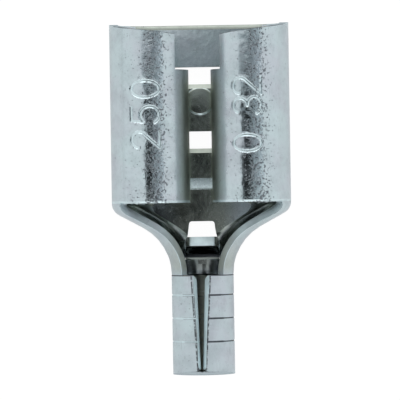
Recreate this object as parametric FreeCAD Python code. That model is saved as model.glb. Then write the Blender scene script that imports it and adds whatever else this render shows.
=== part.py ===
import FreeCAD, Part
import math
import os

# Female spade terminal for a flat tab, in millimetres.
# +Y points to the mouth, +X across, +Z up from the underside of the floor.
# The origin is at the middle of the bounding box, on the underside.

# Sheet and receptacle
SHEET = 0.38               # thickness of the strip
BODY_WIDTH = 7.62          # across both rolls
ROLL_HEIGHT = 3.34         # underside to the crest of a roll
ROLL_GAP = 0.94            # clear space between the two rolls
MOUTH_Y = 7.52             # front edge of the floor
ROLL_REAR_Y = -0.085       # where the rolls are cut off behind
TAB_SLOT = 0.72            # room between floor and wing edge before a tab goes in

# Front of the rolls
WING_FRONT_LEFT = 222.0    # degrees of roll left in front of the notch, left wing
WING_FRONT_RIGHT = 230.0   # the same for the right wing
NOTCH_Y = 5.55             # rear end of the notch in the wings
MOUTH_SETBACK = 0.36       # how far the front edge runs back over each 100 degrees of roll
LEAD_LENGTH = 0.19         # coined lead-in, along the sheet
LEAD_DEPTH = 0.13          # coined lead-in, into the sheet

# Windows in the floor
WINDOW_WIDTH = 2.70
WINDOW_LENGTH = 0.74
FRONT_WINDOW_Y = 5.36      # middle of the window near the mouth
REAR_WINDOW_Y = 2.60       # middle of the window behind the dimple
WINDOW_CORNER = 0.12

# Detent dimple
DIMPLE_Y = 4.27
DIMPLE_BASE_RADIUS = 0.60
DIMPLE_TOP_RADIUS = 0.36
DIMPLE_HEIGHT = 0.20

# Ramp across the floor
RAMP_FRONT_Y = 0.96
RAMP_LENGTH = 0.45
RAMP_HEIGHT = 0.13
RAMP_WIDTH = 2.90

# Shoulder
SHOULDER_INNER_CORNER = 0.17   # plan radius inside the wall behind the rolls
SHOULDER_STRAIGHT = 1.14       # straight part of the wall between its two curves, in plan
WALL_SWEEP_FRONT = 128.0       # degrees from the floor at the rolls
WALL_SWEEP_REAR = 138.0        # degrees from the floor at the barrel
JOIN_LAP = 0.15                # the shoulder runs on inside the barrel's wall this far
JOIN_EASE = 0.01               # and stays this far under both faces of that wall

# Stop tab, lanced from the floor
STOP_ROOT_Y = -2.53        # where its bend leaves the floor
STOP_BEND = 0.60           # radius inside the bend
STOP_HEIGHT = 1.30         # top edge above the underside
STOP_TIP_WIDTH = 1.18
STOP_ROOT_WIDTH = 1.40
STOP_GAP = 0.05            # sliver left beside the stop tab at its root
OPENING_FRONT_Y = -0.89
OPENING_FRONT_WIDTH = 1.06
OPENING_CORNER = 0.12

# Wire barrel
BARREL_BORE = 1.88         # inside diameter
BARREL_FRONT_Y = -3.15
BARREL_REAR_Y = -7.52      # lowest point of the rear end
REAR_SLANT = 0.16          # the top of the rear end stands back by this much
SEAM_SHIFT = -0.085        # middle of the seam, off the middle plane
SEAM_FRONT = 0.36          # gap at the front, between the bevelled edges
SEAM_REAR = 0.08           # gap at the rear
SEAM_BEVEL_FRONT = 0.23    # how far the bevels open the seam on each side, at the front
SEAM_BEVEL_REAR = 0.12     # the same at the rear
SEAM_CORNER = 0.24         # rounding of the four corners of the seam, in plan
REAR_CHAMFER = 0.10        # inside, at the rear end
SERRATION_FIRST_Y = -4.00
SERRATION_PITCH = 0.985
SERRATION_COUNT = 3
SERRATION_WIDTH = 0.22
SERRATION_DEPTH = 0.08
SERRATION_TRACE = 0.025    # depth of the faint line each serration leaves outside
SERRATION_TRACE_WIDTH = 0.07

ROLL_ACROSS = (BODY_WIDTH - ROLL_GAP) / 4.0    # half the width of one roll
ROLL_UP = ROLL_HEIGHT / 2.0                    # half its height
ROLL_X = BODY_WIDTH / 2.0 - ROLL_ACROSS        # axis of the right-hand roll, and the end of the flat floor
BARREL_RADIUS = BARREL_BORE / 2.0 + SHEET
MARGIN = 0.5               # how far a cutting body stands clear of what it cuts


def vec(x, y, z):
    return FreeCAD.Vector(x, y, z)


def block(x0, x1, y0, y1, z0, z1):
    return Part.makeBox(x1 - x0, y1 - y0, z1 - z0, vec(x0, y0, z0))


def plate(points, depth):
    """Closed outline of straight lines, pushed along the vector depth."""
    wire = Part.makePolygon(points + [points[0]])
    return Part.Face(wire).extrude(depth)


def mirrored(shape):
    return shape.mirror(vec(0, 0, 0), vec(1, 0, 0))


def oval(x, y, z, across, upward):
    """Closed outline square to Y, a circle or an ellipse."""
    centre = vec(x, y, z)
    if abs(across - upward) < 1e-6:
        return Part.Wire(Part.makeCircle(across, centre, vec(0, 1, 0)))
    if upward > across:
        curve = Part.Ellipse(vec(x, y, z + upward), vec(x + across, y, z), centre)
    else:
        curve = Part.Ellipse(vec(x + across, y, z), vec(x, y, z + upward), centre)
    return Part.Wire(curve.toShape())


def wing_sweep():
    """Angle at which the lower corner of the wing stands TAB_SLOT above the floor."""
    height = SHEET + TAB_SLOT
    return 360.0 - math.degrees(math.acos(1.0 - height / ROLL_UP))


def on_bend(centre_x, y, centre_z, across, upward, degrees):
    """Point of a bend that starts downward at the floor; the angle is the sweep."""
    a = math.radians(degrees)
    return vec(centre_x + across * math.sin(a), y, centre_z - upward * math.cos(a))


def bend_edge(side, y, half_floor, across, upward, centre_z, sweep):
    """Arc from the floor up to the sweep, circular or squeezed in x."""
    def at(degrees):
        p = on_bend(half_floor, y, centre_z, across, upward, degrees)
        return vec(side * p.x, p.y, p.z)
    if abs(across - upward) < 1e-6:
        return Part.Arc(at(0.0), at(sweep / 2.0), at(sweep)).toShape()
    centre = vec(side * half_floor, y, centre_z)
    if upward > across:
        major = vec(side * half_floor, y, centre_z - upward)
        minor = vec(side * (half_floor + across), y, centre_z)
        curve = Part.Ellipse(major, minor, centre)
        return Part.ArcOfEllipse(curve, 0.0, math.radians(sweep)).toShape()
    major = vec(side * (half_floor + across), y, centre_z)
    minor = vec(side * half_floor, y, centre_z + upward)
    curve = Part.Ellipse(major, minor, centre)
    start = -math.pi / 2.0
    return Part.ArcOfEllipse(curve, start, start + math.radians(sweep)).toShape()


def band_wire(y, half_floor, across, upward, inner_across, sweep, ease=0.0):
    """Cross-section of the bent strip: a flat floor and a bend on each side, thinned by ease on each face."""
    out_x = across - ease
    out_z = upward - ease
    in_x = inner_across + ease
    in_z = upward - SHEET + ease
    right_out = bend_edge(1, y, half_floor, out_x, out_z, upward, sweep)
    left_out = bend_edge(-1, y, half_floor, out_x, out_z, upward, sweep)
    right_in = bend_edge(1, y, half_floor, in_x, in_z, upward, sweep)
    left_in = bend_edge(-1, y, half_floor, in_x, in_z, upward, sweep)
    out_tip = on_bend(half_floor, y, upward, out_x, out_z, sweep)
    in_tip = on_bend(half_floor, y, upward, in_x, in_z, sweep)
    floor_out = Part.makeLine(vec(-half_floor, y, ease), vec(half_floor, y, ease))
    floor_in = Part.makeLine(vec(half_floor, y, SHEET - ease), vec(-half_floor, y, SHEET - ease))
    right_cut = Part.makeLine(out_tip, in_tip)
    left_cut = Part.makeLine(vec(-in_tip.x, y, in_tip.z), vec(-out_tip.x, y, out_tip.z))
    edges = [floor_out, right_out, right_cut, right_in, floor_in, left_in, left_cut, left_out]
    return Part.Wire(Part.__sortEdges__(edges))


def rolled_band():
    """Floor and both rolls, at their full sweep and full length."""
    wire = band_wire(ROLL_REAR_Y, ROLL_X, ROLL_ACROSS, ROLL_UP, ROLL_ACROSS - SHEET, wing_sweep())
    return Part.Face(wire).extrude(vec(0, MOUTH_Y - ROLL_REAR_Y, 0))


def mouth_section(degrees):
    """Upright strip ahead of the front edge, where the roll has reached this angle."""
    back = MOUTH_Y - MOUTH_SETBACK * (degrees - 90.0) / 100.0
    ahead = MOUTH_Y + MARGIN
    near = -SHEET - MARGIN
    far = MARGIN
    points = [on_bend(ROLL_X, back, ROLL_UP, ROLL_ACROSS + near, ROLL_UP + near, degrees),
              on_bend(ROLL_X, back, ROLL_UP, ROLL_ACROSS + far, ROLL_UP + far, degrees),
              on_bend(ROLL_X, ahead, ROLL_UP, ROLL_ACROSS + far, ROLL_UP + far, degrees),
              on_bend(ROLL_X, ahead, ROLL_UP, ROLL_ACROSS + near, ROLL_UP + near, degrees)]
    return Part.makePolygon(points + [points[0]])


def mouth_trim():
    """Right-hand body ahead of the front edge: an edge cut slantwise in the flat, then rolled."""
    start = 80.0
    finish = max(WING_FRONT_LEFT, WING_FRONT_RIGHT) + 20.0
    steps = 8
    sections = [mouth_section(start + (finish - start) * i / steps) for i in range(steps + 1)]
    return Part.makeLoft(sections, True, False)


def mouth_funnel():
    """Right-hand body that coins the inside of the lower wall at the mouth."""
    across = ROLL_ACROSS - SHEET
    upward = ROLL_UP - SHEET
    deep = SHEET / 2.0
    stretch = LEAD_LENGTH / LEAD_DEPTH
    start = MOUTH_Y - LEAD_LENGTH - deep * stretch
    finish = MOUTH_Y + deep * stretch
    small = oval(ROLL_X, start, ROLL_UP, across - deep, upward - deep)
    grown = LEAD_DEPTH + deep
    large = oval(ROLL_X, finish, ROLL_UP, across + grown, upward + grown)
    cone = Part.makeLoft([small, large], True, True)
    lower = block(ROLL_X, BODY_WIDTH, start - MARGIN, finish + MARGIN, -MARGIN, ROLL_UP)
    return cone.common(lower)


def wing_notch(sweep):
    """Right-hand body that shortens the wing near the mouth to this sweep."""
    centre = vec(ROLL_X, NOTCH_Y, ROLL_UP)
    edge = on_bend(ROLL_X, NOTCH_Y, ROLL_UP, 2.0 * ROLL_ACROSS, 2.0 * ROLL_UP, sweep)
    points = [centre, edge, vec(edge.x, NOTCH_Y, 2.0 * SHEET), vec(ROLL_X, NOTCH_Y, 2.0 * SHEET)]
    return plate(points, vec(0, MOUTH_Y - NOTCH_Y + MARGIN, 0))


def window(middle_y):
    """Opening through the floor with rounded corners."""
    hole = block(-WINDOW_WIDTH / 2.0, WINDOW_WIDTH / 2.0, middle_y - WINDOW_LENGTH / 2.0,
                 middle_y + WINDOW_LENGTH / 2.0, -MARGIN, SHEET + MARGIN)
    upright = [e for e in hole.Edges if abs(e.tangentAt(e.FirstParameter).z) > 0.99]
    return hole.makeFillet(WINDOW_CORNER, upright)


def lead_in(edge_y, half_width):
    """Wedge that coins a mouth-facing edge of the floor."""
    top = SHEET + MARGIN
    tip = LEAD_LENGTH * MARGIN / LEAD_DEPTH
    points = [vec(-half_width, edge_y - LEAD_LENGTH - tip, top), vec(-half_width, edge_y, SHEET - LEAD_DEPTH),
              vec(-half_width, edge_y + MARGIN, SHEET - LEAD_DEPTH), vec(-half_width, edge_y + MARGIN, top)]
    return plate(points, vec(2.0 * half_width, 0, 0))


def dimple_body(lift):
    """Dome with a flat top; the same shape makes the dent in the underside."""
    low = -MARGIN
    spread = (DIMPLE_BASE_RADIUS - DIMPLE_TOP_RADIUS) / DIMPLE_HEIGHT
    base = DIMPLE_BASE_RADIUS + spread * (lift - low)
    height = lift + DIMPLE_HEIGHT - low
    return Part.makeCone(base, DIMPLE_TOP_RADIUS, height, vec(0, DIMPLE_Y, low), vec(0, 0, 1))


def dimple_rise():
    """The part of the dimple that stands above the floor, clear of the bridge's coined edge."""
    front = FRONT_WINDOW_Y - WINDOW_LENGTH / 2.0 - LEAD_LENGTH
    keep = block(-ROLL_X, ROLL_X, DIMPLE_Y - ROLL_X, front, SHEET / 2.0, ROLL_HEIGHT)
    return dimple_body(SHEET).common(keep)


def dimple_dent():
    return dimple_body(0.0)


def ramp_wedge(base_z):
    """Long wedge, rising to the rear and dropping off sharply."""
    half = RAMP_WIDTH / 2.0
    rear = RAMP_FRONT_Y - RAMP_LENGTH
    below = base_z - SHEET / 2.0
    points = [vec(-half, RAMP_FRONT_Y, below), vec(-half, RAMP_FRONT_Y, base_z),
              vec(-half, rear, base_z + RAMP_HEIGHT), vec(-half, rear, below)]
    return plate(points, vec(RAMP_WIDTH, 0, 0))


def receptacle():
    body = rolled_band()
    both = [mouth_trim(), mouth_funnel()]
    cutters = both + [mirrored(c) for c in both]
    cutters += [wing_notch(WING_FRONT_RIGHT), mirrored(wing_notch(WING_FRONT_LEFT))]
    cutters += [window(FRONT_WINDOW_Y), window(REAR_WINDOW_Y)]
    half = WINDOW_WIDTH / 2.0
    bevels = [lead_in(MOUTH_Y, ROLL_X), lead_in(FRONT_WINDOW_Y - WINDOW_LENGTH / 2.0, half),
              lead_in(REAR_WINDOW_Y - WINDOW_LENGTH / 2.0, half)]
    body = body.cut(cutters + bevels)
    body = body.fuse([dimple_rise(), ramp_wedge(SHEET)])
    return body.cut([dimple_dent(), ramp_wedge(0.0)])


def plan_curve():
    """Centres, radii and tangent angle of the two arcs of the shoulder in plan."""
    corner = SHOULDER_INNER_CORNER + SHEET
    wide = BODY_WIDTH / 2.0
    narrowing = wide - BARREL_RADIUS
    length = ROLL_REAR_Y - BARREL_FRONT_Y
    total = (length ** 2 + narrowing ** 2 - SHOULDER_STRAIGHT ** 2) / (2.0 * narrowing)
    hollow = total - corner
    angle = math.atan2(length, total - narrowing) - math.atan2(SHOULDER_STRAIGHT, total)
    first = vec(wide - corner, ROLL_REAR_Y, 0)
    second = vec(BARREL_RADIUS + hollow, BARREL_FRONT_Y, 0)
    return first, second, corner, hollow, angle


def wall_x(y, inset):
    """Distance of the wall from the middle plane at y, moved inwards by inset."""
    first, second, corner, hollow, angle = plan_curve()
    r1 = corner - inset
    r2 = hollow + inset
    leave = first.y - r1 * math.sin(angle)
    arrive = second.y + r2 * math.sin(angle)
    if y >= leave:
        return first.x + math.sqrt(max(r1 * r1 - (first.y - y) ** 2, 0.0))
    if y <= arrive:
        return second.x - math.sqrt(max(r2 * r2 - (y - second.y) ** 2, 0.0))
    start = first.x + r1 * math.cos(angle)
    return start - (leave - y) * math.tan(angle)


def shoulder_section(y):
    """Section of the trough between the rolls and the barrel."""
    outside = wall_x(y, 0.0)
    inside = wall_x(y, SHEET)
    share = (outside - BARREL_RADIUS) / (BODY_WIDTH / 2.0 - BARREL_RADIUS)
    share = min(max(share, 0.0), 1.0)
    across = BARREL_RADIUS + (ROLL_ACROSS - BARREL_RADIUS) * share
    upward = BARREL_RADIUS + (ROLL_UP - BARREL_RADIUS) * share
    sweep = WALL_SWEEP_REAR + (WALL_SWEEP_FRONT - WALL_SWEEP_REAR) * share
    half_floor = max(outside - across, 0.02)
    across = outside - half_floor
    return band_wire(y, half_floor, across, upward, inside - half_floor, sweep, JOIN_EASE * (1.0 - share))


def shoulder():
    """Trough between the rolls and the barrel, drawn through sections along the plan curve."""
    first, second, corner, hollow, angle = plan_curve()
    steps = 5
    leave = first.y - corner * math.sin(angle)
    arrive = second.y + hollow * math.sin(angle)
    stations = [first.y - corner * math.sin(angle * i / steps) for i in range(steps)]
    stations += [leave + (arrive - leave) * i / 3.0 for i in range(3)]
    stations += [second.y + hollow * math.sin(angle * (steps - i) / steps) for i in range(steps + 1)]
    stations.append(second.y - JOIN_LAP)
    return Part.makeLoft([shoulder_section(y) for y in stations], True, False)


def stop_opening():
    """Tapered hole in the floor, from its front edge back to the root of the stop tab."""
    rear = STOP_ROOT_WIDTH / 2.0 + STOP_GAP
    front = OPENING_FRONT_WIDTH / 2.0
    z = -MARGIN
    points = [vec(-rear, STOP_ROOT_Y, z), vec(rear, STOP_ROOT_Y, z),
              vec(front, OPENING_FRONT_Y, z), vec(-front, OPENING_FRONT_Y, z)]
    hole = plate(points, vec(0, 0, SHEET + 2.0 * MARGIN))
    upright = []
    for edge in hole.Edges:
        lies = abs(edge.tangentAt(edge.FirstParameter).z) > 0.99
        if lies and edge.CenterOfMass.y > (STOP_ROOT_Y + OPENING_FRONT_Y) / 2.0:
            upright.append(edge)
    return hole.makeFillet(OPENING_CORNER, upright)


def stop_tab():
    """Strip that leaves the floor at its root, bends up and stands upright."""
    outer = STOP_BEND + SHEET
    z = SHEET + STOP_BEND
    front = STOP_ROOT_Y + outer
    back = STOP_ROOT_Y + STOP_BEND
    turn = math.sqrt(0.5)
    x0 = -STOP_ROOT_WIDTH
    heel = STOP_ROOT_Y - SHEET / 2.0
    edges = [
        Part.makeLine(vec(x0, heel, 0), vec(x0, STOP_ROOT_Y, 0)),
        Part.Arc(vec(x0, STOP_ROOT_Y, 0), vec(x0, STOP_ROOT_Y + outer * turn, z - outer * turn),
                 vec(x0, front, z)).toShape(),
        Part.makeLine(vec(x0, front, z), vec(x0, front, STOP_HEIGHT)),
        Part.makeLine(vec(x0, front, STOP_HEIGHT), vec(x0, back, STOP_HEIGHT)),
        Part.makeLine(vec(x0, back, STOP_HEIGHT), vec(x0, back, z)),
        Part.Arc(vec(x0, back, z), vec(x0, STOP_ROOT_Y + STOP_BEND * turn, z - STOP_BEND * turn),
                 vec(x0, STOP_ROOT_Y, SHEET)).toShape(),
        Part.makeLine(vec(x0, STOP_ROOT_Y, SHEET), vec(x0, heel, SHEET)),
        Part.makeLine(vec(x0, heel, SHEET), vec(x0, heel, 0)),
    ]
    strip = Part.Face(Part.Wire(edges)).extrude(vec(2.0 * STOP_ROOT_WIDTH, 0, 0))
    return strip.common(stop_outline())


def stop_outline():
    """Upright body with the taper and the rounded top corners of the stop tab."""
    root = STOP_ROOT_WIDTH / 2.0
    tip = STOP_TIP_WIDTH / 2.0
    y = STOP_ROOT_Y - SHEET
    points = [vec(-root, y, -MARGIN), vec(root, y, -MARGIN), vec(root, y, SHEET),
              vec(tip, y, STOP_HEIGHT), vec(-tip, y, STOP_HEIGHT), vec(-root, y, SHEET)]
    body = plate(points, vec(0, STOP_BEND + 3.0 * SHEET, 0))
    top = []
    for edge in body.Edges:
        lengthwise = abs(edge.tangentAt(edge.FirstParameter).y) > 0.99
        if lengthwise and edge.CenterOfMass.z > STOP_HEIGHT - 0.01:
            top.append(edge)
    return body.makeFillet(OPENING_CORNER, top)


def seam_at(y, front, rear):
    """Value that runs evenly from the front of the barrel to its rear."""
    share = (BARREL_FRONT_Y - y) / (BARREL_FRONT_Y - BARREL_REAR_Y)
    return front + (rear - front) * share


def seam_section(y):
    """Slot between the two edges of the barrel, opening out at the top."""
    half = seam_at(y, SEAM_FRONT, SEAM_REAR) / 2.0
    bevel = seam_at(y, SEAM_BEVEL_FRONT, SEAM_BEVEL_REAR)
    top = 2.0 * BARREL_RADIUS
    foot = top - bevel
    spread = bevel + MARGIN
    x = SEAM_SHIFT
    points = [vec(x - half, y, BARREL_RADIUS), vec(x + half, y, BARREL_RADIUS), vec(x + half, y, foot),
              vec(x + half + spread, y, foot + spread), vec(x - half - spread, y, foot + spread),
              vec(x - half, y, foot)]
    return Part.makePolygon(points + [points[0]])


def seam_cutter():
    return Part.makeLoft([seam_section(BARREL_FRONT_Y), seam_section(BARREL_REAR_Y)], True, True)


def corner_relief(corner_y, gap, side, end):
    """Body that rounds one corner of the seam in plan."""
    r = SEAM_CORNER
    x = SEAM_SHIFT + side * gap / 2.0
    low_x = min(x, x + side * r)
    low_y = min(corner_y, corner_y - end * r)
    square = block(low_x, low_x + r, low_y, low_y + r, BARREL_RADIUS, 3.0 * BARREL_RADIUS)
    pin = Part.makeCylinder(r, 2.0 * BARREL_RADIUS, vec(x + side * r, corner_y - end * r, BARREL_RADIUS),
                            vec(0, 0, 1))
    return square.cut(pin)


def serration(index):
    """Ring that cuts one groove inside the barrel."""
    y = SERRATION_FIRST_Y - index * SERRATION_PITCH - SERRATION_WIDTH / 2.0
    centre = vec(0, y, BARREL_RADIUS)
    return Part.makeCylinder(BARREL_BORE / 2.0 + SERRATION_DEPTH, SERRATION_WIDTH, centre, vec(0, 1, 0))


def serration_trace(index):
    """Ring that marks the same serration faintly outside."""
    y = SERRATION_FIRST_Y - index * SERRATION_PITCH - SERRATION_TRACE_WIDTH / 2.0
    centre = vec(0, y, BARREL_RADIUS)
    outer = Part.makeCylinder(BARREL_RADIUS + MARGIN, SERRATION_TRACE_WIDTH, centre, vec(0, 1, 0))
    inner = Part.makeCylinder(BARREL_RADIUS - SERRATION_TRACE, SERRATION_TRACE_WIDTH, centre, vec(0, 1, 0))
    return outer.cut(inner)


def rear_slant():
    """Body behind the slanting rear end of the barrel."""
    top = 2.0 * BARREL_RADIUS
    slope = REAR_SLANT / top
    x = -2.0 * BARREL_RADIUS
    low = -MARGIN
    high = top + MARGIN
    back = BARREL_REAR_Y - MARGIN
    points = [vec(x, BARREL_REAR_Y + slope * low, low), vec(x, BARREL_REAR_Y + slope * high, high),
              vec(x, back, high), vec(x, back, low)]
    return plate(points, vec(-2.0 * x, 0, 0))


def rear_chamfer():
    """Cone that opens the bore at the rear end."""
    r = BARREL_BORE / 2.0
    c = REAR_CHAMFER
    middle = BARREL_REAR_Y + REAR_SLANT / 2.0
    start = vec(0, middle - 2.0 * c, BARREL_RADIUS)
    return Part.makeCone(r + 3.0 * c, r - c, 4.0 * c, start, vec(0, 1, 0))


def barrel():
    length = BARREL_FRONT_Y - BARREL_REAR_Y
    start = vec(0, BARREL_REAR_Y, BARREL_RADIUS)
    outer = Part.makeCylinder(BARREL_RADIUS, length, start, vec(0, 1, 0))
    bore = Part.makeCylinder(BARREL_BORE / 2.0, length, start, vec(0, 1, 0))
    tube = outer.cut(bore)
    cutters = [rear_slant(), seam_cutter(), rear_chamfer()]
    cutters += [serration(i) for i in range(SERRATION_COUNT)]
    cutters += [serration_trace(i) for i in range(SERRATION_COUNT)]
    rear_top = BARREL_REAR_Y + REAR_SLANT
    for side in (-1, 1):
        cutters.append(corner_relief(BARREL_FRONT_Y, SEAM_FRONT, side, 1))
        cutters.append(corner_relief(rear_top, SEAM_REAR, side, -1))
    return tube.cut(cutters)


def terminal():
    body = receptacle().fuse([shoulder(), barrel()])
    body = body.cut(stop_opening())
    body = body.fuse(stop_tab())
    return body.removeSplitter()


def main():
    os.makedirs("parts", exist_ok=True)
    shape = terminal()
    shape.exportStep("parts/terminal.step")


main()
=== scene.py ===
import math
from contextlib import contextmanager

import bmesh
import bpy
import numpy as np
from bpy.props import FloatProperty, FloatVectorProperty, PointerProperty
from bpy.types import Operator, Panel, PropertyGroup
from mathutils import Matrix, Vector
from mathutils.bvhtree import BVHTree
from mathutils.geometry import barycentric_transform


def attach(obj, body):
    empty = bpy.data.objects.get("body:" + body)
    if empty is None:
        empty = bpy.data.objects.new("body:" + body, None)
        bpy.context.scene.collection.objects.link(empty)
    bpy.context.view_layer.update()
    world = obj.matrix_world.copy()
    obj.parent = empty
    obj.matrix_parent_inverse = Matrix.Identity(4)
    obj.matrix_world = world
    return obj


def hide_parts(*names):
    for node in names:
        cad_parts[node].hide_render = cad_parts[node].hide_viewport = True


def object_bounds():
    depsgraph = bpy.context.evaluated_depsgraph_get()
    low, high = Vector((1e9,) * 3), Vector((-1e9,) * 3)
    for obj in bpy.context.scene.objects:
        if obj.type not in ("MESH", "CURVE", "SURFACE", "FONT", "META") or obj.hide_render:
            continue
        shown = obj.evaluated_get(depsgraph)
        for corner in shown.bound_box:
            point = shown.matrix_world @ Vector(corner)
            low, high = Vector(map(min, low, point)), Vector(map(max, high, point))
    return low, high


bl_info = {
    "name": "Female Spade Terminal",
    "version": (1, 0, 0),
    "blender": (4, 5, 0),
    "location": "3D View > Sidebar > Terminal",
    "description": "Dresses a rolled, tinned brass spade terminal and sets it on a pale floor",
    "category": "Object",
}

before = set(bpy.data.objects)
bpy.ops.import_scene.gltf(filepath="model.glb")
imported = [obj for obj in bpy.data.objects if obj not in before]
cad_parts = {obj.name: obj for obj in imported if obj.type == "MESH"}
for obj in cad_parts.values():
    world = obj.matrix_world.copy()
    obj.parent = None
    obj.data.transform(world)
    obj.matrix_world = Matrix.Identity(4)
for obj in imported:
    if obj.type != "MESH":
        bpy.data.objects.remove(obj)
CAD_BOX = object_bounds()
CAD_NODE = "terminal"
PIECE = "terminal_sheet"

MM = 0.001

# Material slots of the piece, in order. The cavity, corner and dark slots paint shade; the rubbed slot is worn
# edges and a painted highlight.
FINISHES = ("tin", "rubbed_and_highlit", "sheared", "cavity_shade", "darkened", "corner")
TIN, RUBBED_AND_HIGHLIT, SHEARED, CAVITY_SHADE, DARKENED, SHADED_CORNER = range(6)

# How far apart two places may lie and still be one, on one bend, or on one bend with a worn edge.
MERGE = 1e-7
NEAR = 0.003 * MM
ON_BEND = 0.012 * MM
ON_WORN_BEND = 0.02 * MM

# Places along the part.
WING_FRONT = 6.6 * MM
WING_STEP = 5.55 * MM
LEAD_IN = 6.9 * MM
STOP_END = -1.4 * MM
BARREL_END = -7.0 * MM

# The finely divided patch under the numbers: along a roll, and round it from straight up.
PATCH_ALONG = (1.85 * MM, 5.40 * MM)
PATCH_ROUND = (-0.58, 0.36)

# How far a roll's rear rim and a serration's line reach down, as an angle from straight up.
RIM_REACH = 1.45
TRACE_REACH = 1.75
TRACES = 3


# ------------ settings


def length(name, description, millimetres):
    """Setting for a length."""
    return FloatProperty(
        name=name, description=description, default=millimetres * MM, unit="LENGTH", precision=6)


def paint(name, description, colour):
    """Setting for a colour."""
    return FloatVectorProperty(
        name=name, description=description, default=colour, subtype="COLOR", min=0.0, max=1.0)


class TerminalSizes(PropertyGroup):
    """Sizes of the rolled sheet that the looks depend on."""

    sheet: length("Sheet", "Thickness of the strip", 0.38)
    roll_radius: length("Roll Radius", "Outside radius of each rolled wing", 1.67)
    roll_offset: length("Roll Offset", "Axis of each rolled wing from the middle", 2.14)
    barrel_radius: length("Barrel Radius", "Outside radius of the wire barrel", 1.32)
    barrel_front: length("Barrel Front", "Front end of the wire barrel along the part", -3.15)
    roll_rear: length("Roll Rear", "Rear end of the rolled wings along the part", -0.085)
    trace_first: length("First Trace", "Place of the first serration line along the barrel", -4.00)
    trace_pitch: length("Trace Pitch", "From one serration line to the next", 0.985)
    trace_width: length("Trace Width", "Width of the line that a serration leaves outside", 0.075)
    trace_depth: length("Trace Depth", "Depth of the line that a serration leaves outside", 0.025)
    dimple_place: length("Dimple Place", "Middle of the dimple along the part", 4.27)
    dimple_radius: length("Dimple Radius", "Radius of the dimple at its foot", 0.60)
    edge_round: length("Edge Rounding", "Widest rubbed strip, along the rear edges of the rolls", 0.085)


class TerminalNumbers(PropertyGroup):
    """The generic size numbers pressed into the rolls."""

    depth: length("Depth", "How deep the strokes are pressed", 0.034)
    stroke: length("Stroke", "Width of a stroke at the surface", 0.15)
    rim: length("Rim", "Height of the metal pushed up beside a stroke", 0.007)
    tall: length("Height", "Height of a number, round the roll", 1.22)
    wide: length("Width", "Width of a number, along the roll", 0.70)
    foot: length("Foot Line", "Foot of the numbers from the crest, round the roll", 0.44)
    grid: length("Grid", "Spacing of the fine mesh under the numbers", 0.026)


class TerminalFinish(PropertyGroup):
    """Colours and wear of the tinned brass, and the colours of its painted shade."""

    tin: paint("Tin", "Clean tin plating", (0.65, 0.755, 0.775))
    tin_warm: paint("Handled Tin", "Tin where it has been handled", (0.64, 0.69, 0.735))
    # This colour also paints shade: in the shoulder's corner, along the seam's crease and in the dark finish.
    tarnish_and_shade: paint("Tarnish and Shade", "Dark film and specks", (0.16, 0.17, 0.19))
    brass: paint("Brass", "Brass that shows at the sheared edges", (0.62, 0.50, 0.30))
    # Painted shade: this colour darkens the insides of the rolls and the barrel, the chamfers, the lead-in,
    # the rear lip and the low part between the rolls.
    cavity_shade: paint("Cavity Shade", "Duller film inside the rolls and the barrel", (0.50, 0.54, 0.48))
    roughness: FloatProperty(
        name="Roughness", description="Roughness of the clean tin", subtype="FACTOR",
        default=0.15, min=0.0, max=1.0)
    specks: FloatProperty(
        name="Specks", description="How many dark specks the tin has", subtype="FACTOR",
        default=0.5, min=0.0, max=1.0)


class TerminalStage(PropertyGroup):
    """Floor, lamps and camera."""

    floor: paint("Floor", "Colour of the floor", (0.92, 0.92, 0.92))
    room: FloatProperty(
        name="Room", description="Level of the soft light from all round", default=0.74, min=0.0)
    camera_height: length("Camera Height", "Camera above the floor", 143.34)


# ------------ mesh helpers


def pick_only(piece):
    """Leaves this piece alone selected and active, in object mode."""
    if bpy.context.object and bpy.context.object.mode != "OBJECT":
        bpy.ops.object.mode_set(mode="OBJECT")
    bpy.ops.object.select_all(action="DESELECT")
    piece.select_set(True)
    bpy.context.view_layer.objects.active = piece


def rows_of(items, name):
    """One row of three numbers for each vertex or face."""
    flat = np.zeros(len(items) * 3)
    items.foreach_get(name, flat)
    return flat.reshape(-1, 3)


def places(mesh):
    return rows_of(mesh.vertices, "co")


def put_places(mesh, rows):
    mesh.vertices.foreach_set("co", rows.reshape(-1))
    mesh.update()


def select_faces(piece, chosen):
    """Opens edit mode in face mode with these faces selected."""
    mesh = piece.data
    pick_only(piece)
    bpy.ops.object.mode_set(mode="EDIT")
    bpy.ops.mesh.select_mode(type="FACE")
    bpy.ops.mesh.select_all(action="DESELECT")
    bpy.ops.object.mode_set(mode="OBJECT")
    mesh.polygons.foreach_set("select", chosen)
    bpy.ops.object.mode_set(mode="EDIT")


def face_centres(mesh):
    return rows_of(mesh.polygons, "center")


def slots_of(mesh):
    """Material slot of each face."""
    slots = np.zeros(len(mesh.polygons), int)
    mesh.polygons.foreach_get("material_index", slots)
    return slots


def put_slots(mesh, slots):
    mesh.polygons.foreach_set("material_index", slots)


def between(values, low, high):
    """Which values lie between these two, given in millimetres."""
    return (values > low * MM) & (values < high * MM)


@contextmanager
def cutting(mesh):
    """Opens a mesh for cuts and writes them back at the end."""
    bm = bmesh.new()
    bm.from_mesh(mesh)
    yield bm
    bm.to_mesh(mesh)
    bm.free()


def round_axis(rows, axis_x, axis_z):
    """Radius of each point about an axis along Y, and its angle from straight up towards plus X."""
    dx = rows[:, 0] - axis_x
    dz = rows[:, 2] - axis_z
    return np.hypot(dx, dz), np.arctan2(dx, dz)


def put_round(rows, chosen, axis, radius, angle):
    """Moves the chosen points to this radius about an axis along Y, each at its own angle."""
    rows[chosen, 0] = axis[0] + radius * np.sin(angle[chosen])
    rows[chosen, 2] = axis[1] + radius * np.cos(angle[chosen])


# ------------ the sheet


def roll_axes(sizes):
    """The axis of each roll, left and right, as x and z."""
    return [(side * sizes.roll_offset, sizes.roll_radius) for side in (-1.0, 1.0)]


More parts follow.
